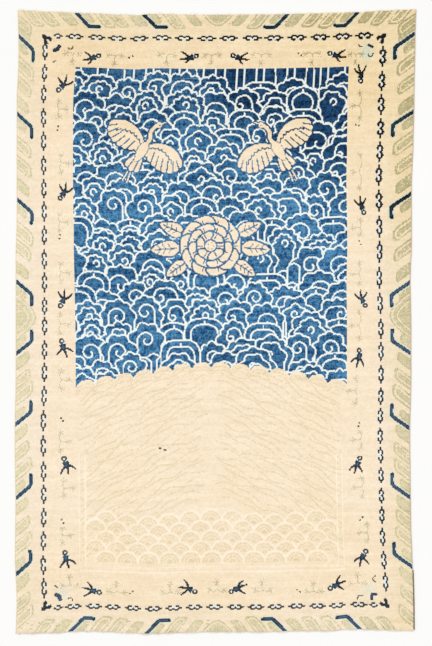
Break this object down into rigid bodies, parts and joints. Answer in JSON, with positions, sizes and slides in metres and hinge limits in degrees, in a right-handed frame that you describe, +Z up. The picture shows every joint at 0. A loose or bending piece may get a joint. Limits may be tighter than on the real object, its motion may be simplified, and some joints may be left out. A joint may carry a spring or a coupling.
{
  "type": "chinese pictorial rug",
  "caption": "Flat oblong hand-knotted wool rug with gently uneven edges, short combs of cut warps at both ends and a whipped stretch of one side, lying flat on a floor.",
  "frame": {"origin": "centre of the rug's box, on its underside where it lies on the floor", "axes": "+Z up out of the pile, +Y along the rug towards the upper end of its pattern, +X to the right as the pattern is read"},
  "size_m": [1.558, 2.4392, 0.006],
  "materials": {
    "wool_pile": "matt knotted wool pile, ivory with indigo and sage patterns",
    "cotton_warps": "raw cotton yarn, frayed and slightly soiled",
    "brown_whipping": "dark brown wool yarn, whipped round the edge"
  },
  "bodies": {
    "root": {"rug_body": "wool_pile", "fringe_top": "cotton_warps", "fringe_bottom": "cotton_warps", "side_whipping": "brown_whipping"}
  },
  "joints": []
}
